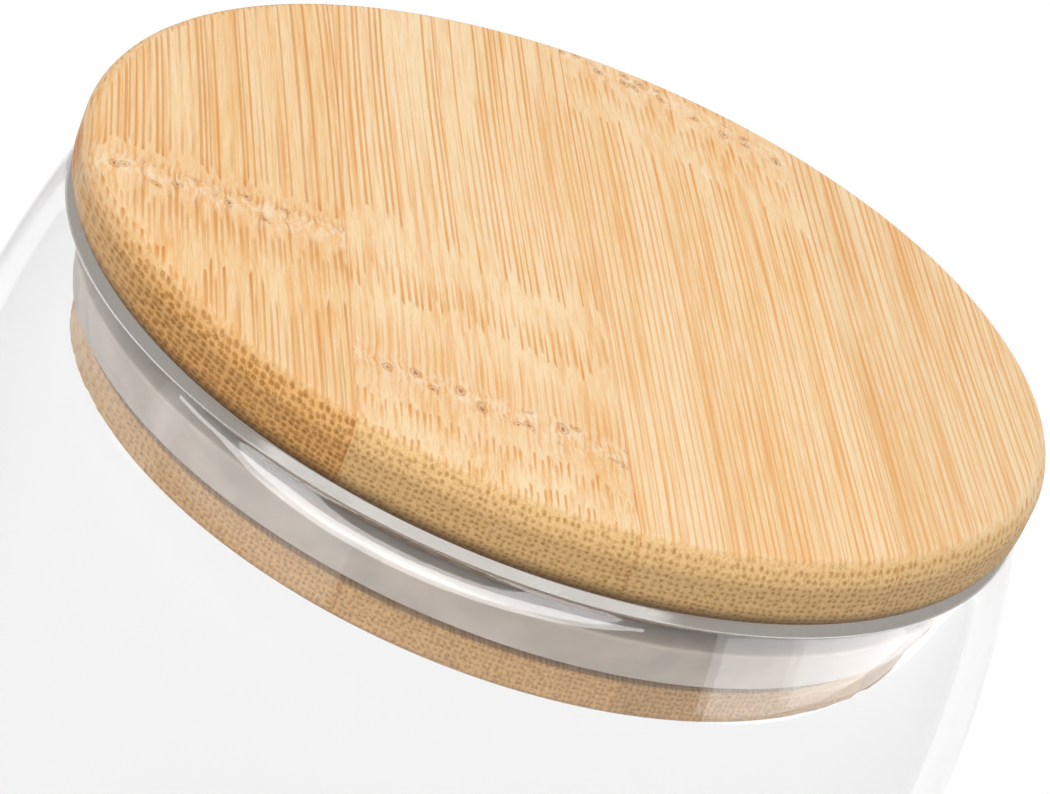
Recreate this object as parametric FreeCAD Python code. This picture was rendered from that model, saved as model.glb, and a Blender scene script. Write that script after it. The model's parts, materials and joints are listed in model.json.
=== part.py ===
import FreeCAD, Part
import math
import os

# Glass food canister with a push-in lid of laminated bamboo and a silicone seal.
# The jar stands on z = 0 with its axis on Z. The grain of the lid's face runs along Y.
# All sizes are in millimetres.

# Glass jar
JAR_HEIGHT = 143.5
BODY_RADIUS = 46.7
WALL = 2.4
MOUTH_RADIUS = 39.8
SHOULDER_LEAN = 17.5
SHOULDER_RADIUS = 88.0
RIM_OUTER_ROUNDING = 0.2
RIM_INNER_ROUNDING = 0.5
HEEL_RADIUS = 9.0
FLOOR_THICKNESS = 3.0
FOOT_INNER_RADIUS = 35.0
FOOT_ROUNDING = 1.5
RECESS_DEPTH = 1.2
RECESS_RADIUS = 31.0
RECESS_ROUNDING = 5.0

# Bamboo lid, a disc with a plug under it, turned from three glued plies
LID_RADIUS = 42.5
DISC_THICKNESS = 6.2
SEAT_GAP = 0.3
TOP_ROUNDING = 2.0
UNDER_ROUNDING = 2.2
PLUG_RADIUS = 38.1
PLUG_LENGTH = 11.8
PLUG_EASE = 0.4
GROOVE_RADIUS = 35.6
GROOVE_OFFSET = 3.1
LIP_HEIGHT = 3.2

# Bamboo strips, glued edge to edge in each ply
STRIP_WIDTH = 22.1
FACE_SEAM = 1.3
CORE_SEAM = 0.0
BASE_SEAM = 5.6

# Silicone seal, a band in the groove with one broad fin that bears on the glass
SEAL_CLEARANCE = 0.15
BAND_THICKNESS = 1.4
FIN_FOOT_RADIUS = 38.9
FIN_TOP_RADIUS = 39.7
FIN_RISE = 0.85
FIN_DROP = 0.55
FIN_ROUNDING = 0.25
BAND_ROUNDING = 0.2

# Heights that follow from the driving sizes
LID_TOP = JAR_HEIGHT + SEAT_GAP + DISC_THICKNESS
DISC_BOTTOM = JAR_HEIGHT + SEAT_GAP
PLUG_BOTTOM = DISC_BOTTOM - PLUG_LENGTH
GROOVE_TOP = DISC_BOTTOM - GROOVE_OFFSET
GROOVE_BOTTOM = PLUG_BOTTOM + LIP_HEIGHT
CORE_BOTTOM = DISC_BOTTOM - PLUG_LENGTH / 2

ORIGIN = FreeCAD.Vector(0, 0, 0)
AXIS = FreeCAD.Vector(0, 0, 1)
SHORTEST_LINE = 1e-6


def section_point(radius, height):
    """Point of a half section, which lies in the XZ plane."""
    return FreeCAD.Vector(radius, 0, height)


def rounded_corner(before, corner, after, rounding):
    """Start, middle and end of the arc that rounds one corner of an outline."""
    towards = (corner - before).normalize()
    away = (after - corner).normalize()
    half_turn = towards.getAngle(away) / 2
    setback = rounding * math.tan(half_turn)
    inset = rounding * (1 / math.cos(half_turn) - 1)
    inwards = (away - towards).normalize()
    return corner - towards * setback, corner + inwards * inset, corner + away * setback


def turned_solid(corners):
    """Solid of revolution whose outline is given as corners of radius, height and rounding."""
    points = [section_point(radius, height) for radius, height, rounding in corners]
    starts = []
    ends = []
    arcs = []
    for index, (radius, height, rounding) in enumerate(corners):
        corner = points[index]
        start, middle, end = corner, corner, corner
        if rounding > 0:
            before = points[index - 1]
            after = points[(index + 1) % len(points)]
            start, middle, end = rounded_corner(before, corner, after, rounding)
        starts.append(start)
        ends.append(end)
        arcs.append(Part.Arc(start, middle, end).toShape() if rounding > 0 else None)
    edges = []
    for index, arc in enumerate(arcs):
        if arc is not None:
            edges.append(arc)
        following = starts[(index + 1) % len(starts)]
        if ends[index].distanceToPoint(following) > SHORTEST_LINE:
            edges.append(Part.makeLine(ends[index], following))
    return Part.Face(Part.Wire(edges)).revolve(ORIGIN, AXIS, 360)


def make_jar():
    """Blown jar: recessed foot, straight body, shoulder leaning in to a rim ground flat."""
    lean = math.radians(SHOULDER_LEAN)
    rim_radius = MOUTH_RADIUS + WALL / math.cos(lean)
    inner_radius = BODY_RADIUS - WALL
    outer_bend = JAR_HEIGHT - (BODY_RADIUS - rim_radius) / math.tan(lean)
    inner_bend = JAR_HEIGHT - (inner_radius - MOUTH_RADIUS) / math.tan(lean)
    floor = RECESS_DEPTH + FLOOR_THICKNESS
    return turned_solid([
        (0, RECESS_DEPTH, 0),
        (RECESS_RADIUS, RECESS_DEPTH, RECESS_ROUNDING),
        (FOOT_INNER_RADIUS, 0, FOOT_ROUNDING),
        (BODY_RADIUS, 0, HEEL_RADIUS),
        (BODY_RADIUS, outer_bend, SHOULDER_RADIUS),
        (rim_radius, JAR_HEIGHT, RIM_OUTER_ROUNDING),
        (MOUTH_RADIUS, JAR_HEIGHT, RIM_INNER_ROUNDING),
        (inner_radius, inner_bend, SHOULDER_RADIUS - WALL),
        (inner_radius, floor, HEEL_RADIUS - WALL),
        (0, floor, 0),
    ])


def make_face_ply():
    """Top ply, turned to the lid's disc with its two rounded edges."""
    return turned_solid([
        (0, DISC_BOTTOM, 0),
        (LID_RADIUS, DISC_BOTTOM, UNDER_ROUNDING),
        (LID_RADIUS, LID_TOP, TOP_ROUNDING),
        (0, LID_TOP, 0),
    ])


def make_core_ply():
    """Middle ply: the plug's collar and the upper part of the seal groove."""
    return turned_solid([
        (0, CORE_BOTTOM, 0),
        (GROOVE_RADIUS, CORE_BOTTOM, 0),
        (GROOVE_RADIUS, GROOVE_TOP, 0),
        (PLUG_RADIUS, GROOVE_TOP, 0),
        (PLUG_RADIUS, DISC_BOTTOM, 0),
        (0, DISC_BOTTOM, 0),
    ])


def make_base_ply():
    """Bottom ply: the lower part of the seal groove and the lip that keeps the seal on."""
    return turned_solid([
        (0, PLUG_BOTTOM, 0),
        (PLUG_RADIUS - PLUG_EASE, PLUG_BOTTOM, 0),
        (PLUG_RADIUS, PLUG_BOTTOM + PLUG_EASE, 0),
        (PLUG_RADIUS, GROOVE_BOTTOM, 0),
        (GROOVE_RADIUS, GROOVE_BOTTOM, 0),
        (GROOVE_RADIUS, CORE_BOTTOM, 0),
        (0, CORE_BOTTOM, 0),
    ])


def make_seal():
    """Seal as it sits in the mouth: a band in the groove and a fin that flares out to the glass."""
    inner = GROOVE_RADIUS + SEAL_CLEARANCE
    outer = inner + BAND_THICKNESS
    bottom = GROOVE_BOTTOM + SEAL_CLEARANCE
    top = GROOVE_TOP - SEAL_CLEARANCE
    fin_foot = bottom + FIN_RISE
    return turned_solid([
        (inner, bottom, BAND_ROUNDING),
        (outer, bottom, BAND_ROUNDING),
        (outer, fin_foot - FIN_ROUNDING, FIN_ROUNDING),
        (FIN_FOOT_RADIUS, fin_foot, FIN_ROUNDING),
        (FIN_TOP_RADIUS, top - FIN_DROP, FIN_ROUNDING),
        (outer, top, BAND_ROUNDING),
        (inner, top, BAND_ROUNDING),
    ])


def ply_strips(ply, seam, across_grain):
    """Strips of one ply, parted at seams one strip width apart."""
    span = 2 * LID_RADIUS
    first = seam - STRIP_WIDTH * math.ceil((seam + LID_RADIUS) / STRIP_WIDTH)
    strips = []
    while first < LID_RADIUS:
        corner = FreeCAD.Vector(first, -LID_RADIUS, DISC_BOTTOM / 2)
        slab = Part.makeBox(STRIP_WIDTH, span, LID_TOP, corner)
        if across_grain:
            slab.rotate(ORIGIN, AXIS, 90)
        strip = ply.common(slab)
        strips.extend(strip.Solids)
        first += STRIP_WIDTH
    return strips


def make_lid_strips():
    """Every strip of the lid by name: a face ply, a crosswise core ply and a base ply."""
    plies = {
        "lid_face_strip": ply_strips(make_face_ply(), FACE_SEAM, False),
        "lid_core_strip": ply_strips(make_core_ply(), CORE_SEAM, True),
        "lid_base_strip": ply_strips(make_base_ply(), BASE_SEAM, False),
    }
    return {
        f"{name}_{number}": strip
        for name, strips in plies.items()
        for number, strip in enumerate(strips, start=1)
    }


def main():
    """Builds every piece and writes one file for each."""
    pieces = {"glass_jar": make_jar(), "lid_seal": make_seal()}
    pieces.update(make_lid_strips())
    os.makedirs("parts", exist_ok=True)
    for name, shape in pieces.items():
        if not shape.isValid() or len(shape.Solids) != 1:
            raise ValueError(f"{name} is not one valid solid")
        shape.exportStep(f"parts/{name}.step")
        print(f"{name}: {shape.Volume / 1000:.2f} cm3")


main()
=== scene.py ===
"""Glass food canister closed by a push-in lid of laminated bamboo with a silicone seal."""
import json
import math
from typing import NamedTuple

import bmesh
import bpy
from bpy.props import FloatProperty, FloatVectorProperty, PointerProperty
from mathutils import Matrix, Vector, noise


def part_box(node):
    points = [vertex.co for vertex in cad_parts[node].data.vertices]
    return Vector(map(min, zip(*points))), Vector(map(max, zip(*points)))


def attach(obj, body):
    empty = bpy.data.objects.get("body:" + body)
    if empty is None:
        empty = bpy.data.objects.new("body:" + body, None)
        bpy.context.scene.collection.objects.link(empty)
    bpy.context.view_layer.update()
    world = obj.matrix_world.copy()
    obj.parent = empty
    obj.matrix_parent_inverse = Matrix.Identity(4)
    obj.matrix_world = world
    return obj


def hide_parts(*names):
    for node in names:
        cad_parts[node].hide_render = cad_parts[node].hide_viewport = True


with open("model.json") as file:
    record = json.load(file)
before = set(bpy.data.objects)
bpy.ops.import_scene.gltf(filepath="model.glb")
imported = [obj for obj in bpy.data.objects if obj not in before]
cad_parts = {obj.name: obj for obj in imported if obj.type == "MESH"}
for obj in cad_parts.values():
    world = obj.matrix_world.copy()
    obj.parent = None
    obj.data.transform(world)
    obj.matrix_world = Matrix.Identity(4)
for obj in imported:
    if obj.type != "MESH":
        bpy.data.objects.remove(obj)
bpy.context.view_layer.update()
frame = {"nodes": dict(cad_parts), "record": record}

bl_info = {
    "name": "Food canister",
    "version": (1, 0, 0),
    "blender": (4, 5, 0),
    "location": "View3D > Sidebar > Canister",
    "description": "Builds a glass jar with a laminated bamboo lid and its silicone seal",
    "category": "Object",
}

MM = 0.001
WHITE = (1.0, 1.0, 1.0, 1.0)

# What the frame says about the pieces
RECORD = frame["record"]
BODY_OF = {node: body for body, nodes in RECORD["behaviour"]["bodies"].items() for node in nodes}
JAR_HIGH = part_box("glass_jar")[1]
SEAL_LOW, SEAL_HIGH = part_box("lid_seal")


def ply_nodes(prefix):
    """Names of one ply's strips, in order across the lid."""
    return sorted(node for node in frame["nodes"] if node.startswith(prefix))


def ply_box(nodes):
    """Lowest and highest corner of the strips taken together."""
    boxes = [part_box(node) for node in nodes]
    low = Vector(min(box[0][axis] for box in boxes) for axis in range(3))
    high = Vector(max(box[1][axis] for box in boxes) for axis in range(3))
    return low, high


FACE_NODES = ply_nodes("lid_face_strip")
CORE_NODES = ply_nodes("lid_core_strip")
BASE_NODES = ply_nodes("lid_base_strip")
FACE_LOW, FACE_HIGH = ply_box(FACE_NODES)
CORE_LOW, CORE_HIGH = ply_box(CORE_NODES)
BASE_LOW, BASE_HIGH = ply_box(BASE_NODES)

# How finely the turned forms are drawn
SEGMENTS = 384
ARC_STEP = math.radians(7)
LONGEST_CHORD = 0.7 * MM
LONG_RUN = 1.5 * LONGEST_CHORD
SUPPORT = 0.25 * MM
SHARP_ANGLE = math.radians(28)
SAW_TOLERANCE = 1e-7


def length(name, description, default):
    """A size that a user may change, in metres."""
    return FloatProperty(name=name, description=description, default=default, min=0.0,
                         precision=5, subtype="DISTANCE", unit="LENGTH")


def angle(name, description, degrees):
    """An angle that a user may change."""
    return FloatProperty(name=name, description=description, default=math.radians(degrees),
                         subtype="ANGLE", unit="ROTATION")


def colour(name, description, red, green, blue):
    """A colour that a user may change, given as it looks on a screen, from 0 to 255."""
    return FloatVectorProperty(name=name, description=description, size=3, min=0.0, max=1.0,
                               subtype="COLOR", default=[as_light(v) for v in (red, green, blue)])


def as_light(level):
    """Share of light that a screen level from 0 to 255 stands for."""
    share = level / 255
    return share / 12.92 if share <= 0.04045 else ((share + 0.055) / 1.055) ** 2.4


class CanisterJar(bpy.types.PropertyGroup):
    """Sizes of the glass jar."""

    height: length("Height", "From the foot to the rim", JAR_HIGH.z)
    radius: length("Body radius", "Outside of the straight body", JAR_HIGH.x)
    wall: length("Wall", "Thickness of the glass", 2.4 * MM)
    mouth: length("Mouth radius", "Inside of the rim", 39.8 * MM)
    lean: angle("Shoulder lean", "How far the shoulder leans in towards the rim", 17.5)
    shoulder: length("Shoulder radius", "Bend between the body and the shoulder", 88 * MM)
    rim_outside: length("Rim outside", "Rounding of the rim's outer edge", 0.2 * MM)
    rim_inside: length("Rim inside", "Rounding of the rim's inner edge", 0.5 * MM)
    heel: length("Heel", "Rounding between the body and the foot", 9 * MM)
    floor: length("Floor", "Thickness of the glass floor", 3 * MM)
    foot: length("Foot radius", "Inside of the ring that the jar stands on", 35 * MM)
    foot_rounding: length("Foot rounding", "Rounding of the foot's inner edge", 1.5 * MM)
    recess: length("Recess", "Depth of the hollow under the jar", 1.2 * MM)
    recess_radius: length("Recess radius", "Flat part of the hollow under the jar", 31 * MM)
    recess_rounding: length("Recess rounding", "Bend at the edge of that flat part", 5 * MM)


class CanisterLid(bpy.types.PropertyGroup):
    """Sizes of the bamboo lid."""

    radius: length("Radius", "Outside of the lid's disc", FACE_HIGH.y)
    top_rounding: length("Top rounding", "Rounding of the disc's upper edge", 2.0 * MM)
    under_rounding: length("Under rounding", "Rounding of the disc's lower edge", 2.2 * MM)
    plug: length("Plug radius", "Outside of the plug's collar and lip", BASE_HIGH.y)
    groove: length("Groove radius", "Bottom of the groove that holds the seal", 35.6 * MM)
    collar: length("Collar", "Height of the plug above the groove", 3.1 * MM)
    lip: length("Lip", "Height of the plug below the groove", 3.2 * MM)
    ease: length("Eased edge", "Slant on the lip's lower edge", 0.4 * MM)
    chips: length("Chips", "Depth of the worn chips along the lip's lower edge", 0.35 * MM)


class CanisterSeal(bpy.types.PropertyGroup):
    """Sizes of the silicone seal."""

    band: length("Band", "Thickness of the band in the groove", 1.4 * MM)
    fin_foot: length("Fin foot", "Outer radius of the fin at its foot", 38.9 * MM)
    fin_top: length("Fin top", "Outer radius of the fin at its top", 39.7 * MM)
    fin_rise: length("Fin rise", "From the band's foot to the fin's foot", 0.85 * MM)
    fin_drop: length("Fin drop", "From the band's top to the fin's outer edge", 0.55 * MM)
    fin_rounding: length("Fin rounding", "Rounding of the fin", 0.25 * MM)
    band_rounding: length("Band rounding", "Rounding of the band", 0.2 * MM)


class CanisterFinish(bpy.types.PropertyGroup):
    """Colours of the canister."""

    pale: colour("Pale bamboo", "Ground between the fibre bundles", 247, 217, 171)
    warm: colour("Warm bamboo", "Darker stretches of the ground", 241, 199, 142)
    cream: colour("Cream bamboo", "Palest fibres", 251, 233, 203)
    bundle: colour("Fibre bundles", "Streaks that the cut bundles leave", 228, 154, 68)
    brown: colour("Brown bundles", "Darkest of those streaks", 184, 116, 48)
    fleck: colour("Node pits", "Small pits at a growth node", 152, 80, 26)
    end_ground: colour("End grain", "Ground on the cut ends of the fibres", 236, 197, 136)
    end_bundle: colour("End bundles", "Cut ends of the fibre bundles", 166, 112, 46)
    # Painted shade: the colour that the faces which look down are darkened towards.
    under: colour("Underside", "Shade of the faces that look down", 128, 121, 114)
    silicone: colour("Silicone", "Seal", 196, 184, 173)
    glass: colour("Glass", "Tint of the glass", 248, 248, 248)
    ground_rim: colour("Ground rim", "Tint of the rim's flat top", 214, 206, 196)
    # Painted glow: colour that the glass gives off where light has bounced often in it, standing in for the
    # light that the wall leads along.
    painted_glow: colour("Glass edge", "Light that the glass leads along its wall", 180, 178, 176)
    # The same painted glow at the rim, darker and browner: painted shade where the lid shades it, with a
    # painted reflection of the lid's wood.
    painted_rim_glow: colour("Glass rim", "The same light at the rim, where the lid shades it", 126, 98, 66)


class CanisterStage(bpy.types.PropertyGroup):
    """Camera, light and floor."""

    lens: FloatProperty(name="Focal length", description="Lens of the camera on a 36 mm wide sensor",
                        default=132.48, min=1.0, subtype="DISTANCE_CAMERA", unit="CAMERA")
    azimuth: angle("Azimuth", "Turn of the camera round the jar, from straight in front", -15.3)
    elevation: angle("Elevation", "Height of the camera above the lid, as an angle", 27.53)
    roll: angle("Roll", "Turn of the camera about its line of sight", 23.16)
    distance: length("Distance", "From the middle of the picture to the camera", 320.2 * MM)
    aim_right: FloatProperty(name="Aim right", description="Lid's middle from the picture's middle",
                             default=4.63 * MM, subtype="DISTANCE", unit="LENGTH")
    aim_up: FloatProperty(name="Aim up", description="Lid's middle above the picture's middle",
                          default=11.39 * MM, subtype="DISTANCE", unit="LENGTH")
    floor: colour("Floor", "Pale floor that the jar stands on", 205, 205, 205)
    floor_size: length("Floor size", "Side of the square floor", 6.0)
    room: FloatProperty(name="Room light", description="Level of the even light from all round",
                        default=0.14, min=0.0)


def rounded_outline(corners, closed):
    """Points of a half section whose corners are given as radius, height and rounding."""
    points = [Vector(corner[:2]) for corner in corners]
    outline = []
    for index, corner in enumerate(points):
        rounding = corners[index][2]
        if rounding == 0:
            outline.append(corner)
            continue
        towards = (corner - points[index - 1]).normalized()
        away = (points[(index + 1) % len(points)] - corner).normalized()
        turn = towards.angle(away)
        start = corner - towards * rounding * math.tan(turn / 2)
        middle = corner + (away - towards).normalized() * rounding / math.cos(turn / 2)
        steps = max(2, math.ceil(turn / ARC_STEP), math.ceil(turn * rounding / LONGEST_CHORD))
        way = math.copysign(1, towards.cross(away))
        spoke = start - middle
        for step in range(steps + 1):
            swing = Matrix.Rotation(way * turn * step / steps, 2)
            outline.append(middle + swing @ spoke)
    return with_supports(outline, closed)


def with_supports(outline, closed):
    """The same outline with a point close to each end of its long straight runs."""
    supported = []
    for index, point in enumerate(outline):
        supported.append(point)
        if index == len(outline) - 1 and not closed:
            break
        run = outline[(index + 1) % len(outline)] - point
        if run.length > LONG_RUN:
            supported.append(point + run.normalized() * SUPPORT)
            supported.append(point + run - run.normalized() * SUPPORT)
    return supported


def turned_form(outline, closed):
    """Mesh turned from a half section, with flat caps where the section is open at its ends."""
    form = bmesh.new()
    turns = [2 * math.pi * step / SEGMENTS for step in range(SEGMENTS)]
    rings = [
        [form.verts.new((point.x * math.cos(turn), point.x * math.sin(turn), point.y)) for turn in turns]
        for point in outline
    ]
    if not closed:
        form.faces.new(rings[0])
        form.faces.new(rings[-1])
    for lower, upper in zip(rings, rings[1:] + (rings[:1] if closed else [])):
        for step in range(SEGMENTS):
            ahead = (step + 1) % SEGMENTS
            form.faces.new((lower[step], lower[ahead], upper[ahead], upper[step]))
    bmesh.ops.recalc_face_normals(form, faces=form.faces[:])
    return form


def cut_strip(ply, axis, low, high):
    """The part of a turned ply between two seams, closed where the saw went."""
    strip = ply.copy()
    across = Vector((0, 0, 0))
    across[axis] = 1
    for seam, outwards in ((low, -across), (high, across)):
        everything = strip.verts[:] + strip.edges[:] + strip.faces[:]
        cut = bmesh.ops.bisect_plane(strip, geom=everything, dist=SAW_TOLERANCE, plane_co=across * seam,
                                     plane_no=outwards, clear_outer=True)
        sawn = [edge for edge in cut["geom_cut"] if isinstance(edge, bmesh.types.BMEdge)]
        if sawn:
            bmesh.ops.contextual_create(strip, geom=sawn)
    bmesh.ops.recalc_face_normals(strip, faces=strip.faces[:])
    return strip


def add_piece(form, node, material):
    """Puts a finished form in the scene, in the place and on the body of the node that it stands for."""
    mesh = bpy.data.meshes.new(node + "_mesh")
    form.to_mesh(mesh)
    form.free()
    if mesh.validate():
        raise RuntimeError(f"the form of {node} is not a clean mesh")
    mesh.shade_smooth()
    mesh.set_sharp_from_angle(angle=SHARP_ANGLE)
    mesh.materials.append(material)
    piece = bpy.data.objects.new(node + "_piece", mesh)
    bpy.context.scene.collection.objects.link(piece)
    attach(piece, BODY_OF[node])
    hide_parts(node)
    return piece


class Wire:
    """A number, vector or colour that flows through a node tree. Arithmetic on it adds nodes."""

    def __init__(self, nodes, socket):
        self.nodes = nodes
        self.socket = socket

    def __add__(self, other):
        return self.nodes.sum("ADD", self, other)

    __radd__ = __add__

    def __sub__(self, other):
        return self.nodes.sum("SUBTRACT", self, other)

    def __rsub__(self, other):
        return self.nodes.sum("SUBTRACT", other, self)

    def __mul__(self, other):
        return self.nodes.sum("MULTIPLY", self, other)

    __rmul__ = __mul__

    def __truediv__(self, other):
        return self.nodes.sum("DIVIDE", self, other)


class Cell(NamedTuple):
    """One of many scattered points, as seen from a place near it."""

    across: Wire
    along: Wire
    distance: Wire
    chance: Wire
    hue: Wire


class Nodes:
    """A node tree, with short calls for the nodes that the finishes and the room share."""

    def __init__(self, tree):
        self.tree = tree

    def node(self, kind, **settings):
        """A new node with its settings."""
        node = self.tree.nodes.new(kind)
        for name, value in settings.items():
            setattr(node, name, value)
        return node

    def feed(self, socket, value):
        """Links a wire or an output to an input, or sets the input to a plain value."""
        if isinstance(value, Wire):
            self.tree.links.new(value.socket, socket)
        elif isinstance(value, bpy.types.NodeSocket):
            self.tree.links.new(value, socket)
        else:
            socket.default_value = value

    def sum(self, operation, *values):
        """What one arithmetic operation gives for the values."""
        node = self.node("ShaderNodeMath", operation=operation)
        for socket, value in zip(node.inputs, values):
            self.feed(socket, value)
        return Wire(self, node.outputs[0])

    def size(self, value):
        """A number without its sign."""
        return self.sum("ABSOLUTE", value)

    def vector(self, x, y, z):
        """One vector from three numbers."""
        node = self.node("ShaderNodeCombineXYZ")
        for socket, value in zip(node.inputs, (x, y, z)):
            self.feed(socket, value)
        return Wire(self, node.outputs[0])

    def noise(self, vector, scale=1.0, detail=2.0, roughness=0.5):
        """Cloudy noise from about 0 to 1."""
        node = self.node("ShaderNodeTexNoise")
        self.feed(node.inputs["Vector"], vector)
        self.feed(node.inputs["Scale"], scale)
        self.feed(node.inputs["Detail"], detail)
        self.feed(node.inputs["Roughness"], roughness)
        return Wire(self, node.outputs[0])

    def cells(self, across, along, randomness):
        """Nearest of many points scattered on a plane: the way to it and two random numbers for it."""
        node = self.node("ShaderNodeTexVoronoi", voronoi_dimensions="2D", feature="F1")
        self.feed(node.inputs["Vector"], self.vector(across, along, 0.0))
        self.feed(node.inputs["Scale"], 1.0)
        self.feed(node.inputs["Randomness"], randomness)
        middle = self.node("ShaderNodeSeparateXYZ")
        self.feed(middle.inputs[0], node.outputs["Position"])
        chance = self.node("ShaderNodeSeparateColor")
        self.feed(chance.inputs[0], node.outputs["Color"])
        return Cell(across - Wire(self, middle.outputs[0]), along - Wire(self, middle.outputs[1]),
                    Wire(self, node.outputs["Distance"]), Wire(self, chance.outputs[0]),
                    Wire(self, chance.outputs[1]))

    def step(self, value, start, end, low=0.0, high=1.0):
        """A smooth change from low to high as value goes from start to end."""
        node = self.node("ShaderNodeMapRange", interpolation_type="SMOOTHSTEP")
        for socket, entry in zip(node.inputs, (value, start, end, low, high)):
            self.feed(socket, entry)
        return Wire(self, node.outputs[0])

    def hump(self, value, spread):
        """A bell curve, 1 where value is 0."""
        ratio = self.sum("DIVIDE", value, spread)
        return self.sum("EXPONENT", self.sum("MULTIPLY", ratio * ratio, -1.0))

    def blend(self, share, first, second, way="MIX"):
        """A colour between two others."""
        node = self.node("ShaderNodeMix", data_type="RGBA", blend_type=way)
        self.feed(node.inputs[0], share)
        for socket, tone in ((node.inputs[6], first), (node.inputs[7], second)):
            self.feed(socket, tone if isinstance(tone, Wire) else (*tone, 1.0))
        return Wire(self, node.outputs[2])

    def either(self, share, first, second):
        """One of two shaders, the second where share is 1."""
        node = self.node("ShaderNodeMixShader")
        for socket, value in zip(node.inputs, (share, first, second)):
            self.feed(socket, value)
        return node.outputs[0]

    def seen(self):
        """1 for rays from the camera, off a glossy surface or through glass, and 0 for others."""
        rays = self.node("ShaderNodeLightPath")
        seen = self.sum("MAXIMUM", rays.outputs["Is Camera Ray"], rays.outputs["Is Glossy Ray"])
        return self.sum("MAXIMUM", seen, rays.outputs["Is Transmission Ray"])


class Finish(Nodes):
    """A material of one shader."""

    def __init__(self, name):
        self.material = bpy.data.materials.new(name)
        self.material.use_nodes = True
        super().__init__(self.material.node_tree)
        self.shader = self.tree.nodes["Principled BSDF"]
        self.output = self.tree.nodes["Material Output"]

    def place(self):
        """Where a point of the piece is, in millimetres, as three wires."""
        coordinates = self.node("ShaderNodeTexCoord")
        scaled = self.node("ShaderNodeVectorMath", operation="SCALE")
        self.feed(scaled.inputs[0], coordinates.outputs["Object"])
        self.feed(scaled.inputs["Scale"], 1 / MM)
        parts = self.node("ShaderNodeSeparateXYZ")
        self.feed(parts.inputs[0], scaled.outputs[0])
        return [Wire(self, socket) for socket in parts.outputs]

    def facing(self):
        """Which way the piece's surface faces, as three wires."""
        coordinates = self.node("ShaderNodeTexCoord")
        parts = self.node("ShaderNodeSeparateXYZ")
        self.feed(parts.inputs[0], coordinates.outputs["Normal"])
        return [Wire(self, socket) for socket in parts.outputs]

    def relief(self, height, depth, strength=1.0):
        """A bumped normal for the shader, from a height between about 0 and 1 and its depth in metres."""
        node = self.node("ShaderNodeBump")
        self.feed(node.inputs["Strength"], strength)
        self.feed(node.inputs["Distance"], depth)
        self.feed(node.inputs["Height"], height)
        self.feed(self.shader.inputs["Normal"], node.outputs[0])

    def set(self, **values):
        """Sets the shader's own inputs, named with underscores for spaces."""
        for name, value in values.items():
            self.feed(self.shader.inputs[name.replace("_", " ")], value)


class Cane(NamedTuple):
    """How one strip of bamboo grew and how it was cut. Lengths are in millimetres."""

    # Fibre bundles: their spacing, where their rows begin, how unevenly they lie, how they crowd with depth
    pitch: float = 0.62
    phase: float = 0.38
    scatter: float = 0.45
    packing: float = 0.06
    # The cut: how it leans, wanders and slopes through the rows of bundles
    tilt: float = 0.0
    drift: float = 0.3
    slope: float = 0.002
    # The growth node: its place, its lean, how far bundles rise at it and over what length on each side
    knuckle: float = 400.0
    knuckle_lean: float = 0.0
    rise: float = 0.0
    spread_up: float = 8.0
    spread_down: float = 8.0
    # Long grain: warmth of the ground, thickness and strength of the streaks
    tone: float = 0.5
    girth: float = 0.0
    boldness: float = 0.9
    # End grain: size and strength of the cut bundles, strength of the mottle
    cut_fill: float = 0.0
    cut_boldness: float = 0.75
    cut_mottle: float = 0.5
    # The whole strip: share of brown; brightness, partly its own tone and partly painted shade; how much
    # painted shade its under faces take
    brown: float = 0.0
    painted_shade_and_tone: float = 1.0
    painted_under_shade: float = 1.0


FACE_CANES = (
    Cane(pitch=0.52, phase=0.42, scatter=0.5, tilt=-0.02, drift=0.16, knuckle=-7.5, knuckle_lean=-0.1,
         rise=0.7, spread_up=3.0, spread_down=10.0, tone=0.7, girth=0.04, boldness=0.8,
         cut_fill=0.1, cut_boldness=1.0, brown=0.8),
    Cane(pitch=0.56, slope=0.005, knuckle=-28.5, knuckle_lean=-0.2, rise=1.3, spread_up=18.0,
         spread_down=9.0, tone=0.35, brown=0.1),
    Cane(knuckle=36.0, knuckle_lean=-0.45, rise=0.8, spread_up=6.0, spread_down=9.0),
    Cane(drift=0.4, tone=0.45, painted_shade_and_tone=0.96),
)
# The core ply's collar is darker and browner as painted shade for the closed pocket between the disc, the
# seal and the glass.
CORE_CANES = tuple(Cane(packing=0.0, tone=tone, brown=0.8, painted_shade_and_tone=0.34) for tone in (0.6, 0.4, 0.55, 0.5))
# The lip's strips are darkened one by one, partly their own tone and partly painted shade for the lip
# behind the glass, darkest on the fourth strip at the right.
BASE_CANES = tuple(
    Cane(pitch=0.45, packing=0.0, tone=tone, cut_boldness=0.85, cut_mottle=0.8, brown=0.4, painted_shade_and_tone=painted_shade_and_tone,
         painted_under_shade=0.2)
    for tone, painted_shade_and_tone in ((0.55, 0.8), (0.6, 0.82), (0.45, 0.72), (0.5, 0.56))
)

# Number of each ply's first strip, and how far apart the patterns of two numbers lie
FACE_NUMBER = 1
CORE_NUMBER = 11
BASE_NUMBER = 21
SEED_STEP = 37.0

# Growth nodes in millimetres: length, length of the stain, ripple, and how far apart the pits lie
KNUCKLE_LENGTH = 2.2
STAIN_LENGTH = 5.0
KNUCKLE_RIPPLE = 2.4
PIT_ACROSS = 1.9
PIT_ALONG = 2.6
# Distances from a seam in millimetres between which its dark line fades in
SEAM_LINE = (0.12, 0.02)
GRAIN_DEPTH = 0.05 * MM


def between(first, second, share):
    """A plain colour between two others."""
    return [one + (other - one) * share for one, other in zip(first, second)]


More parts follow.
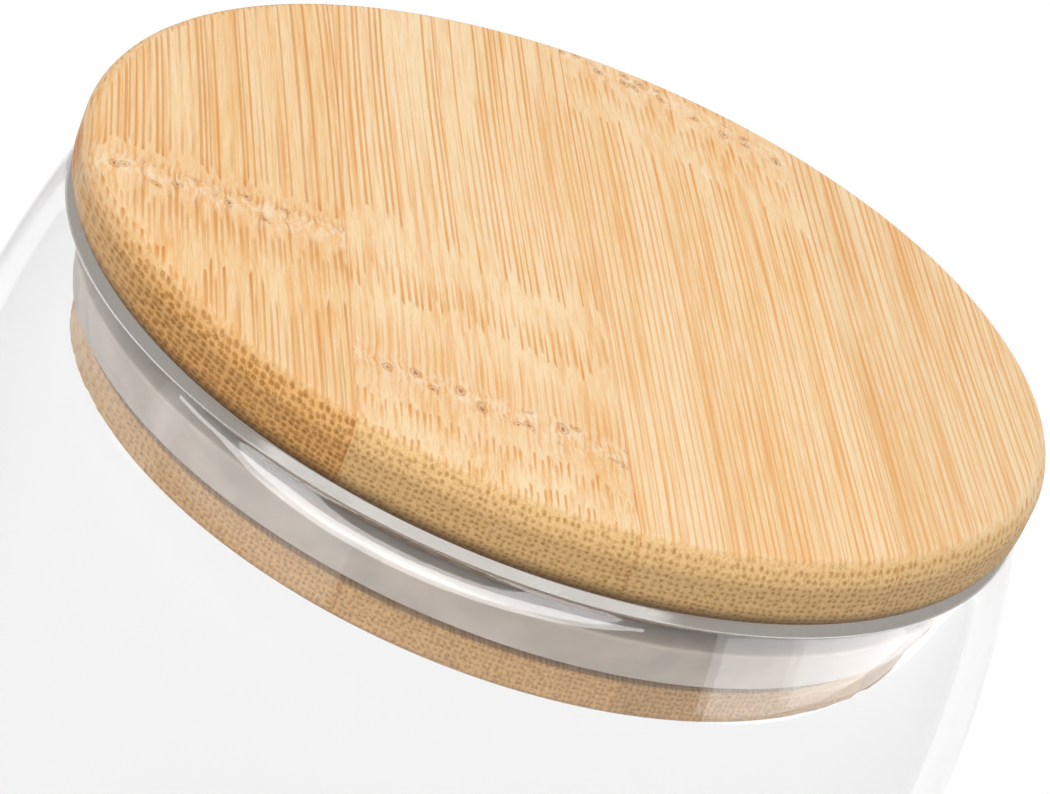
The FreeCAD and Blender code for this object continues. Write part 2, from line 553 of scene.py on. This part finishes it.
class Bamboo(Finish):
    """Sanded bamboo, cut from a solid of fibre bundles that bend outwards at each growth node."""

    def __init__(self, name, cane, low, high, across, number):
        super().__init__(name)
        self.colours = bpy.context.scene.canister_finish
        self.cane = cane
        self.seed = SEED_STEP * number
        self.x, self.y, self.z = self.place()
        face_x, face_y, self.face_z = self.facing()
        if across:
            self.x, self.y = self.y, self.x
            face_y = face_x
        self.ends = self.step(self.size(face_y), 0.1, 0.6)
        self.grow((low + high) / 2)
        self.cut()
        tone = self.blend(self.ends, self.knuckle_marks(self.long_grain()), self.end_grain())
        left, right = (self.step(self.size(self.x - edge), *SEAM_LINE) for edge in (low, high))
        seam = left + right
        tone = self.blend(seam * 0.4, self.painted_shade(tone), self.colours.bundle, way="MULTIPLY")
        self.set(Base_Color=tone, Specular_IOR_Level=0.3)
        self.set(Roughness=self.bundle * 0.12 + self.hairs * 0.2 + self.ends * 0.12 + 0.42)
        grain = self.bundle * (1.0 - self.ends) * 0.4 + (self.dot * 0.7 + self.mottle) * self.ends
        height = self.hairs * 0.35 - grain - seam * 0.5 + self.tuft * 0.1
        self.relief(height, GRAIN_DEPTH, 0.6)

    def grow(self, middle):
        """Finds where a point lies in the cane, and the fibre bundle that is nearest to it."""
        x, y, z, seed, cane = self.x, self.y, self.z, self.seed, self.cane
        sway = self.noise(self.vector(x * 0.05 + seed, y * 0.012, z * 0.05), detail=1.0) - 0.5
        ripple = self.noise(self.vector(x * 0.5 + seed, y * 0.3, z * 0.5), detail=2.0) - 0.5
        wander = self.noise(self.vector(x * 0.03 + seed, y * 0.02, z * 0.03), detail=2.0) - 0.5
        self.along = y - (x - middle) * cane.knuckle_lean - cane.knuckle + ripple * KNUCKLE_RIPPLE
        above = self.sum("GREATER_THAN", self.along, 0.0)
        spread = above * (cane.spread_up - cane.spread_down) + cane.spread_down
        self.swell = self.hump(self.along, spread)
        self.knuckle = self.hump(self.along, KNUCKLE_LENGTH)
        side = x - y * cane.tilt + sway * 2.0 + ripple * self.knuckle * 1.4 + seed
        depth = z - FACE_HIGH.z / MM + self.swell * cane.rise + y * cane.slope + wander * cane.drift * 2.0
        rank = depth / cane.pitch - depth * depth * cane.packing + cane.phase + seed
        self.bundles = self.cells(side / cane.pitch, rank, cane.scatter)
        self.hairs = self.noise(self.vector(side * 7.0, y * 0.2, depth * 7.0), detail=3.0, roughness=0.65)
        self.strands = self.noise(self.vector(side * 1.7, y * 0.03, depth * 1.7), detail=2.0, roughness=0.6)
        self.bands = self.noise(self.vector(side * 0.25, y * 0.012, depth * 0.25), detail=2.0)

    def cut(self):
        """Finds what the saw lays open: streaks and tufts along the grain, dots and mottle across it."""
        bundles = self.bundles
        ripeness = self.step(bundles.along, -0.5, 0.2)
        reach = ripeness * 0.12 + bundles.chance * 0.12 + self.swell * 0.06 + self.cane.girth
        streak = self.step(self.size(bundles.across) - reach, 0.06, -0.1)
        self.bundle = streak * ripeness * self.step(bundles.along, 0.44, 0.32)
        place = self.vector(self.x * 1.6 + self.seed, self.along * 0.5, self.z)
        self.tuft = self.step(self.noise(place, detail=3.0, roughness=0.7), 0.42, 0.62) * self.knuckle
        self.dot = self.step(bundles.distance, 0.44 + self.cane.cut_fill, 0.1 + self.cane.cut_fill)
        point = self.vector(self.x, self.y, self.z)
        self.mottle = self.noise(point, scale=4.6, detail=3.0, roughness=0.75)

    def long_grain(self):
        """Colour where the saw ran along the fibres."""
        colours, hairs = self.colours, self.hairs
        warmth = self.step(self.bands + (self.cane.tone - 0.5) * 0.5, 0.3, 0.7)
        ground = self.blend(warmth, colours.pale, colours.warm)
        ground = self.blend(self.step(hairs, 0.52, 0.36) * 0.35, ground, colours.cream)
        ground = self.blend(self.step(hairs, 0.52, 0.68) * 0.3, ground, colours.bundle)
        ground = self.blend(self.step(self.strands, 0.48, 0.7) * 0.5, ground, colours.bundle)
        ground = self.blend(self.hump(self.along, STAIN_LENGTH) * 0.22, ground, colours.bundle)
        tip = self.step(self.bundles.along, 0.1, 0.36)
        streak = self.blend(tip * 0.3 + self.cane.brown * 0.5, colours.bundle, colours.brown)
        vigour = self.bundles.hue * 0.6 + 0.4
        return self.blend(self.bundle * vigour * self.cane.boldness, ground, streak)

    def knuckle_marks(self, tone):
        """The same colour with the pale tufts and dark pits of a growth node."""
        tone = self.blend(self.tuft * 0.6, tone, self.colours.cream)
        rings = self.cells(self.x / PIT_ACROSS + self.seed, self.along / PIT_ALONG, 1.0)
        ragged = rings.distance + (self.hairs - 0.5) * 0.2
        kept = self.step(rings.chance, 0.3, 0.35) * self.step(self.knuckle, 0.5, 0.65)
        pit = self.step(ragged, 0.13, 0.05) * kept
        rind = self.step(self.size(ragged - 0.2), 0.1, 0.02) * kept
        tone = self.blend(rind * 0.45, tone, self.colours.brown)
        return self.blend(pit * 0.75, tone, self.colours.fleck)

    def end_grain(self):
        """Colour where the saw ran across the fibres."""
        colours, cane = self.colours, self.cane
        cut_pale = between(colours.end_ground, colours.bundle, cane.brown * 0.8)
        cut_warm = between(colours.warm, colours.bundle, cane.brown * 0.5)
        ground = self.blend(self.step(self.bands, 0.35, 0.65) * 0.4, cut_pale, cut_warm)
        spots = self.step(self.mottle, 0.44, 0.66) * cane.cut_mottle
        ground = self.blend(spots, ground, colours.end_bundle)
        halo = self.step(self.bundles.distance, 0.4, 0.65)
        ground = self.blend(halo * 0.25, ground, cut_warm)
        strength = self.dot * (self.bundles.hue * 0.4 + 0.6) * cane.cut_boldness
        tone = self.blend(strength, ground, colours.end_bundle)
        # Light specks across the cut ends: partly the wood's own fleck, partly painted sheen.
        return self.blend(self.step(self.hairs, 0.5, 0.36) * 0.4, tone, colours.warm)

    def painted_shade(self, tone):
        """The same colour at the strip's own brightness, which is partly painted shade, and darker on the
        faces that look down as painted shade.
        """
        light = [self.cane.painted_shade_and_tone] * 3
        shadow = [value * self.cane.painted_shade_and_tone for value in self.colours.under]
        painted_shade_share = self.step(self.face_z, 0.3, -0.8) * self.cane.painted_under_shade
        return self.blend(1.0, tone, self.blend(painted_shade_share, light, shadow), way="MULTIPLY")


# How dark the clouds in the silicone and the specks on the floor are
SEAL_CLOUDS = 0.82
FLOOR_SPECKS = 0.985


def silicone():
    """Translucent moulded silicone with a satin skin."""
    colours = bpy.context.scene.canister_finish
    finish = Finish("seal_silicone")
    x, y, z = finish.place()
    point = finish.vector(x, y, z)
    cloud = finish.noise(point, scale=0.25, detail=3.0)
    skin = finish.noise(point, scale=4.0, detail=3.0, roughness=0.65)
    darker = [value * SEAL_CLOUDS for value in colours.silicone]
    finish.set(
        Base_Color=finish.blend(finish.step(cloud, 0.3, 0.7), colours.silicone, darker),
        Roughness=skin * 0.25 + 0.35,
        Subsurface_Weight=0.5,
        Subsurface_Radius=(1.0, 0.9, 0.8),
        Subsurface_Scale=1.2 * MM,
        IOR=1.41,
    )
    finish.relief(skin, 0.02 * MM, 0.5)
    return finish.material


# How often light may bounce in the jar before a painted glow stands in for the rest of its way
DEEPEST_BOUNCE = 4.5
# Heights in millimetres over which that painted glow turns to its darker rim colour, painted shade where
# the lid shades the rim
PAINTED_SHADE_HEIGHTS = (132.0, 140.0)
# Heights in millimetres between which the rim's ground top begins
GROUND_RIM = (143.2, 143.4)
# Tint of the light that the glass lets through to what it holds
THROUGH_TINT = (0.9, 0.9, 0.9, 1.0)


def clear_glass():
    """Clear blown glass, a little wavy, that lets lamp light through to what it holds, and gives off a
    painted glow where light has bounced often in it, darker and browner at the rim as painted shade.
    """
    colours = bpy.context.scene.canister_finish
    finish = Finish("jar_glass")
    x, y, z = finish.place()
    face_z = finish.facing()[2]
    point = finish.vector(x, y, z * 0.35)
    waves = finish.noise(point, scale=0.06, detail=1.0)
    smears = finish.noise(point, scale=0.12, detail=4.0, roughness=0.6)
    flat_top = finish.step(face_z, 0.8, 0.97) * finish.step(z, *GROUND_RIM)
    finish.set(
        Base_Color=finish.blend(flat_top, colours.glass, colours.ground_rim),
        Roughness=finish.step(smears, 0.45, 0.8, 0.0, 0.03) + flat_top * 0.12,
        IOR=1.5,
        Transmission_Weight=1.0,
    )
    finish.relief(waves, 0.25 * MM, 0.3)
    # Painted glow: a ray that has bounced often sees the glow colour instead of going on, with painted
    # shade towards the rim.
    rays = finish.node("ShaderNodeLightPath")
    painted_glow_shader = finish.node("ShaderNodeEmission")
    painted_glow = finish.blend(finish.step(z, *PAINTED_SHADE_HEIGHTS), colours.painted_glow, colours.painted_rim_glow)
    finish.feed(painted_glow_shader.inputs["Color"], painted_glow)
    painted_glow_share = finish.sum("GREATER_THAN", rays.outputs["Ray Depth"], DEEPEST_BOUNCE)
    inside = finish.either(painted_glow_share, finish.shader.outputs[0], painted_glow_shader.outputs[0])
    clear = finish.node("ShaderNodeBsdfTransparent")
    clear.inputs["Color"].default_value = THROUGH_TINT
    surface = finish.either(rays.outputs["Is Shadow Ray"], inside, clear.outputs[0])
    finish.feed(finish.output.inputs["Surface"], surface)
    return finish.material


# Distances from the jar in millimetres between which the floor's own glow grows, and its strength there
GLOW_REACH = (350.0, 1500.0)
GLOW_STRENGTH = (0.52, 0.95)


def pale_floor():
    """Matt pale floor that looks white where nothing shades it."""
    stage = bpy.context.scene.canister_stage
    finish = Finish("pale_floor")
    x, y, z = finish.place()
    speckle = finish.noise(finish.vector(x, y, z), scale=0.05, detail=2.0)
    darker = [value * FLOOR_SPECKS for value in stage.floor]
    away = finish.sum("SQRT", x * x + y * y)
    finish.set(
        Base_Color=finish.blend(speckle, stage.floor, darker),
        Roughness=0.9,
        Specular_IOR_Level=0.1,
        Emission_Color=WHITE,
        Emission_Strength=finish.seen() * finish.step(away, *GLOW_REACH, *GLOW_STRENGTH),
    )
    return finish.material


class CANISTER_OT_jar(bpy.types.Operator):
    """Turns the glass jar: recessed foot, straight body and a shoulder that leans in to the rim"""

    bl_idname = "canister.jar"
    bl_label = "Glass jar"

    def execute(self, context):
        jar = context.scene.canister_jar
        rim = jar.mouth + jar.wall / math.cos(jar.lean)
        inside = jar.radius - jar.wall
        outer_bend = jar.height - (jar.radius - rim) / math.tan(jar.lean)
        inner_bend = jar.height - (inside - jar.mouth) / math.tan(jar.lean)
        floor = jar.recess + jar.floor
        outline = rounded_outline([
            (jar.recess_radius / 2, jar.recess, 0),
            (jar.recess_radius, jar.recess, jar.recess_rounding),
            (jar.foot, 0, jar.foot_rounding),
            (jar.radius, 0, jar.heel),
            (jar.radius, outer_bend, jar.shoulder),
            (rim, jar.height, jar.rim_outside),
            (jar.mouth, jar.height, jar.rim_inside),
            (inside, inner_bend, jar.shoulder - jar.wall),
            (inside, floor, jar.heel - jar.wall),
            (jar.recess_radius / 2, floor, 0),
        ], closed=False)
        add_piece(turned_form(outline, closed=False), "glass_jar", clear_glass())
        return {"FINISHED"}


class CANISTER_OT_seal(bpy.types.Operator):
    """Turns the silicone seal: a band in the lid's groove with a fin that flares out to the glass"""

    bl_idname = "canister.seal"
    bl_label = "Silicone seal"

    def execute(self, context):
        seal = context.scene.canister_seal
        lid = context.scene.canister_lid
        bottom = SEAL_LOW.z
        top = SEAL_HIGH.z
        clearance = bottom - BASE_LOW.z - lid.lip
        inner = lid.groove + clearance
        outer = inner + seal.band
        fin_foot = bottom + seal.fin_rise
        outline = rounded_outline([
            (inner, bottom, seal.band_rounding),
            (outer, bottom, seal.band_rounding),
            (outer, fin_foot - seal.fin_rounding, seal.fin_rounding),
            (seal.fin_foot, fin_foot, seal.fin_rounding),
            (seal.fin_top, top - seal.fin_drop, seal.fin_rounding),
            (outer, top, seal.band_rounding),
            (inner, top, seal.band_rounding),
        ], closed=True)
        add_piece(turned_form(outline, closed=True), "lid_seal", silicone())
        return {"FINISHED"}


# Axes that the seams of a ply are set out along
X_AXIS = 0
Y_AXIS = 1


def saw_ply(ply, nodes, canes, axis, first_number):
    """Saws a turned ply into its strips, each with bamboo of its own."""
    for number, (node, cane) in enumerate(zip(nodes, canes), start=first_number):
        low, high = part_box(node)
        strip = cut_strip(ply, axis, low[axis], high[axis])
        finish = Bamboo(node + "_bamboo", cane, low[axis] / MM, high[axis] / MM, axis == Y_AXIS, number)
        add_piece(strip, node, finish.material)
    ply.free()


class CANISTER_OT_face_strips(bpy.types.Operator):
    """Turns the lid's disc with its rounded edges and saws it into the strips of the top ply"""

    bl_idname = "canister.face_strips"
    bl_label = "Lid face strips"

    def execute(self, context):
        lid = context.scene.canister_lid
        outline = rounded_outline([
            (lid.groove, FACE_LOW.z, 0),
            (lid.radius, FACE_LOW.z, lid.under_rounding),
            (lid.radius, FACE_HIGH.z, lid.top_rounding),
            (lid.groove, FACE_HIGH.z, 0),
        ], closed=False)
        saw_ply(turned_form(outline, closed=False), FACE_NODES, FACE_CANES, X_AXIS, FACE_NUMBER)
        return {"FINISHED"}


class CANISTER_OT_core_strips(bpy.types.Operator):
    """Turns the plug's collar and upper groove and saws it into the crosswise strips of the core ply"""

    bl_idname = "canister.core_strips"
    bl_label = "Lid core strips"

    def execute(self, context):
        lid = context.scene.canister_lid
        outline = rounded_outline([
            (lid.groove / 2, CORE_LOW.z, 0),
            (lid.groove, CORE_LOW.z, 0),
            (lid.groove, CORE_HIGH.z - lid.collar, 0),
            (lid.plug, CORE_HIGH.z - lid.collar, 0),
            (lid.plug, CORE_HIGH.z, 0),
            (lid.groove / 2, CORE_HIGH.z, 0),
        ], closed=False)
        saw_ply(turned_form(outline, closed=False), CORE_NODES, CORE_CANES, Y_AXIS, CORE_NUMBER)
        return {"FINISHED"}


# Worn chips: the size of the large and the small ones, and how rough the edge is where they begin
LARGE_CHIP = 1.3 * MM
SMALL_CHIP = 0.5 * MM
CHIP_START = 0.1


def chip_lip(ply, lid):
    """Wears small chips into the lower edge of the lip."""
    for vertex in ply.verts:
        out = Vector((vertex.co.x, vertex.co.y, 0))
        low = vertex.co.z < BASE_LOW.z + lid.ease + SUPPORT / 2
        if not low or vertex.co.z < BASE_LOW.z + SUPPORT / 2:
            continue
        rough = noise.noise(out / LARGE_CHIP) + noise.noise(out / SMALL_CHIP) * 0.5
        chip = max(0.0, rough - CHIP_START) * lid.chips
        vertex.co -= out.normalized() * chip * 0.5
        vertex.co.z += chip


class CANISTER_OT_base_strips(bpy.types.Operator):
    """Turns the lower groove and the chipped lip and saws it into the strips of the base ply"""

    bl_idname = "canister.base_strips"
    bl_label = "Lid base strips"

    def execute(self, context):
        lid = context.scene.canister_lid
        outline = rounded_outline([
            (lid.groove / 2, BASE_LOW.z, 0),
            (lid.plug - lid.ease, BASE_LOW.z, 0),
            (lid.plug, BASE_LOW.z + lid.ease, 0),
            (lid.plug, BASE_LOW.z + lid.lip, 0),
            (lid.groove, BASE_LOW.z + lid.lip, 0),
            (lid.groove, BASE_HIGH.z, 0),
            (lid.groove / 2, BASE_HIGH.z, 0),
        ], closed=False)
        ply = turned_form(outline, closed=False)
        chip_lip(ply, lid)
        saw_ply(ply, BASE_NODES, BASE_CANES, X_AXIS, BASE_NUMBER)
        return {"FINISHED"}


class CANISTER_OT_stage(bpy.types.Operator):
    """Sets the floor, the soft light and the camera"""

    bl_idname = "canister.stage"
    bl_label = "Stage"

    def execute(self, context):
        stage = context.scene.canister_stage
        lay_floor(stage)
        hang_softboxes()
        fill_room(stage)
        set_camera(stage)
        context.scene.view_settings.view_transform = "Standard"
        return {"FINISHED"}


FLOOR_SQUARES = 8


def lay_floor(stage):
    """Lays the pale floor under the jar."""
    form = bmesh.new()
    bmesh.ops.create_grid(form, x_segments=FLOOR_SQUARES, y_segments=FLOOR_SQUARES,
                          size=stage.floor_size / 2)
    mesh = bpy.data.meshes.new("floor_mesh")
    form.to_mesh(mesh)
    form.free()
    mesh.materials.append(pale_floor())
    floor = bpy.data.objects.new("floor", mesh)
    bpy.context.scene.collection.objects.link(floor)


class Softbox(NamedTuple):
    """One soft lamp as the lid sees it, in degrees. One that doesn't light shows only as a reflection."""

    name: str
    azimuth: float
    elevation: float
    width: float
    height: float
    brightness: float
    roll: float = 0.0
    lights: bool = True


SOFTBOXES = (
    Softbox("ceiling", -90, 90, 112, 112, 0.84),
    Softbox("key_softbox", -116, 46, 50, 36, 2.0),
    Softbox("front_strip", -118, 2.6, 108, 1.5, 7.5, roll=1.5),
    Softbox("left_panel", -150, -2, 52, 9, 0.8),
    Softbox("back_left_panel", 168, -2, 44, 16, 0.55),
    Softbox("right_panel", 16, -6, 88, 12, 1.5),
    Softbox("right_card", -14.8, -4.6, 63.6, 12, 2.5, roll=-1.9, lights=False),
)
SOFTBOX_DISTANCE = 0.7


def hang_softboxes():
    """Hangs the soft lamps round the lid, out of the camera's sight."""
    aim = Vector((0, 0, FACE_LOW.z))
    for box in SOFTBOXES:
        lamp = bpy.data.lights.new(box.name, "AREA")
        lamp.shape = "RECTANGLE"
        lamp.size = 2 * SOFTBOX_DISTANCE * math.tan(math.radians(box.width / 2))
        lamp.size_y = 2 * SOFTBOX_DISTANCE * math.tan(math.radians(box.height / 2))
        lamp.energy = box.brightness * math.pi * lamp.size * lamp.size_y
        turn = math.radians(box.azimuth)
        rise = math.radians(box.elevation)
        away = Vector((math.cos(turn) * math.cos(rise), math.sin(turn) * math.cos(rise), math.sin(rise)))
        holder = bpy.data.objects.new(box.name, lamp)
        holder.location = aim + away * SOFTBOX_DISTANCE
        holder.rotation_euler = (-away).to_track_quat("-Z", "Y").to_euler()
        holder.rotation_euler.rotate_axis("Z", math.radians(box.roll))
        holder.visible_diffuse = box.lights
        holder.visible_camera = False
        bpy.context.scene.collection.objects.link(holder)


def fill_room(stage):
    """Fills the room with even light, and makes it white where it is seen itself."""
    world = bpy.data.worlds.new("room")
    world.use_nodes = True
    room = Nodes(world.node_tree)
    even = room.tree.nodes["Background"]
    white = room.node("ShaderNodeBackground")
    for sky, strength in ((even, stage.room), (white, 1.0)):
        sky.inputs["Color"].default_value = WHITE
        sky.inputs["Strength"].default_value = strength
    rays = room.node("ShaderNodeLightPath")
    straight = room.sum("LESS_THAN", rays.outputs["Diffuse Depth"], 0.5)
    sky = room.either(room.seen() * straight, even.outputs[0], white.outputs[0])
    room.feed(room.tree.nodes["World Output"].inputs["Surface"], sky)
    bpy.context.scene.world = world


# The camera's sensor in millimetres, and the nearest distance that it sees
SENSOR_WIDTH = 36.0
NEAREST_SEEN = 10 * MM


def set_camera(stage):
    """Puts the camera at the photograph's viewing angle."""
    turn = stage.azimuth
    rise = stage.elevation
    back = Vector((math.sin(turn) * math.cos(rise), -math.cos(turn) * math.cos(rise), math.sin(rise)))
    level = Vector((math.cos(turn), math.sin(turn), 0))
    upright = back.cross(level)
    right = level * math.cos(stage.roll) + upright * math.sin(stage.roll)
    up = upright * math.cos(stage.roll) - level * math.sin(stage.roll)
    lid_middle = Vector((0, 0, FACE_HIGH.z))
    place = lid_middle - right * stage.aim_right - up * stage.aim_up + back * stage.distance
    lens = bpy.data.cameras.new("camera")
    lens.lens = stage.lens
    lens.sensor_fit = "HORIZONTAL"
    lens.sensor_width = SENSOR_WIDTH
    lens.clip_start = NEAREST_SEEN
    camera = bpy.data.objects.new("camera", lens)
    camera.matrix_world = Matrix.Translation(place) @ Matrix((right, up, back)).transposed().to_4x4()
    bpy.context.scene.collection.objects.link(camera)
    bpy.context.scene.camera = camera


class CANISTER_PT_build(bpy.types.Panel):
    """Lists the canister's pieces, sizes and colours"""

    bl_label = "Canister"
    bl_idname = "CANISTER_PT_build"
    bl_space_type = "VIEW_3D"
    bl_region_type = "UI"
    bl_category = "Canister"

    def draw(self, context):
        for operator in OPERATORS:
            self.layout.operator(operator.bl_idname)
        for name, group in GROUPS.items():
            box = self.layout.box()
            box.label(text=group.__doc__)
            for entry in group.__annotations__:
                box.prop(getattr(context.scene, name), entry)


GROUPS = {
    "canister_jar": CanisterJar,
    "canister_lid": CanisterLid,
    "canister_seal": CanisterSeal,
    "canister_finish": CanisterFinish,
    "canister_stage": CanisterStage,
}
OPERATORS = (
    CANISTER_OT_jar,
    CANISTER_OT_seal,
    CANISTER_OT_face_strips,
    CANISTER_OT_core_strips,
    CANISTER_OT_base_strips,
    CANISTER_OT_stage,
)


def register():
    """Adds the classes and the scene's settings."""
    for group in GROUPS.values():
        bpy.utils.register_class(group)
    for name, group in GROUPS.items():
        setattr(bpy.types.Scene, name, PointerProperty(type=group))
    for operator in OPERATORS:
        bpy.utils.register_class(operator)
    bpy.utils.register_class(CANISTER_PT_build)


def unregister():
    """Takes the classes and the scene's settings away again."""
    bpy.utils.unregister_class(CANISTER_PT_build)
    for operator in reversed(OPERATORS):
        bpy.utils.unregister_class(operator)
    for name in GROUPS:
        delattr(bpy.types.Scene, name)
    for group in reversed(GROUPS.values()):
        bpy.utils.unregister_class(group)


def main():
    """Builds the canister and its stage."""
    register()
    bpy.ops.canister.jar()
    bpy.ops.canister.seal()
    bpy.ops.canister.face_strips()
    bpy.ops.canister.core_strips()
    bpy.ops.canister.base_strips()
    bpy.ops.canister.stage()


if __name__ == "__main__":
    main()
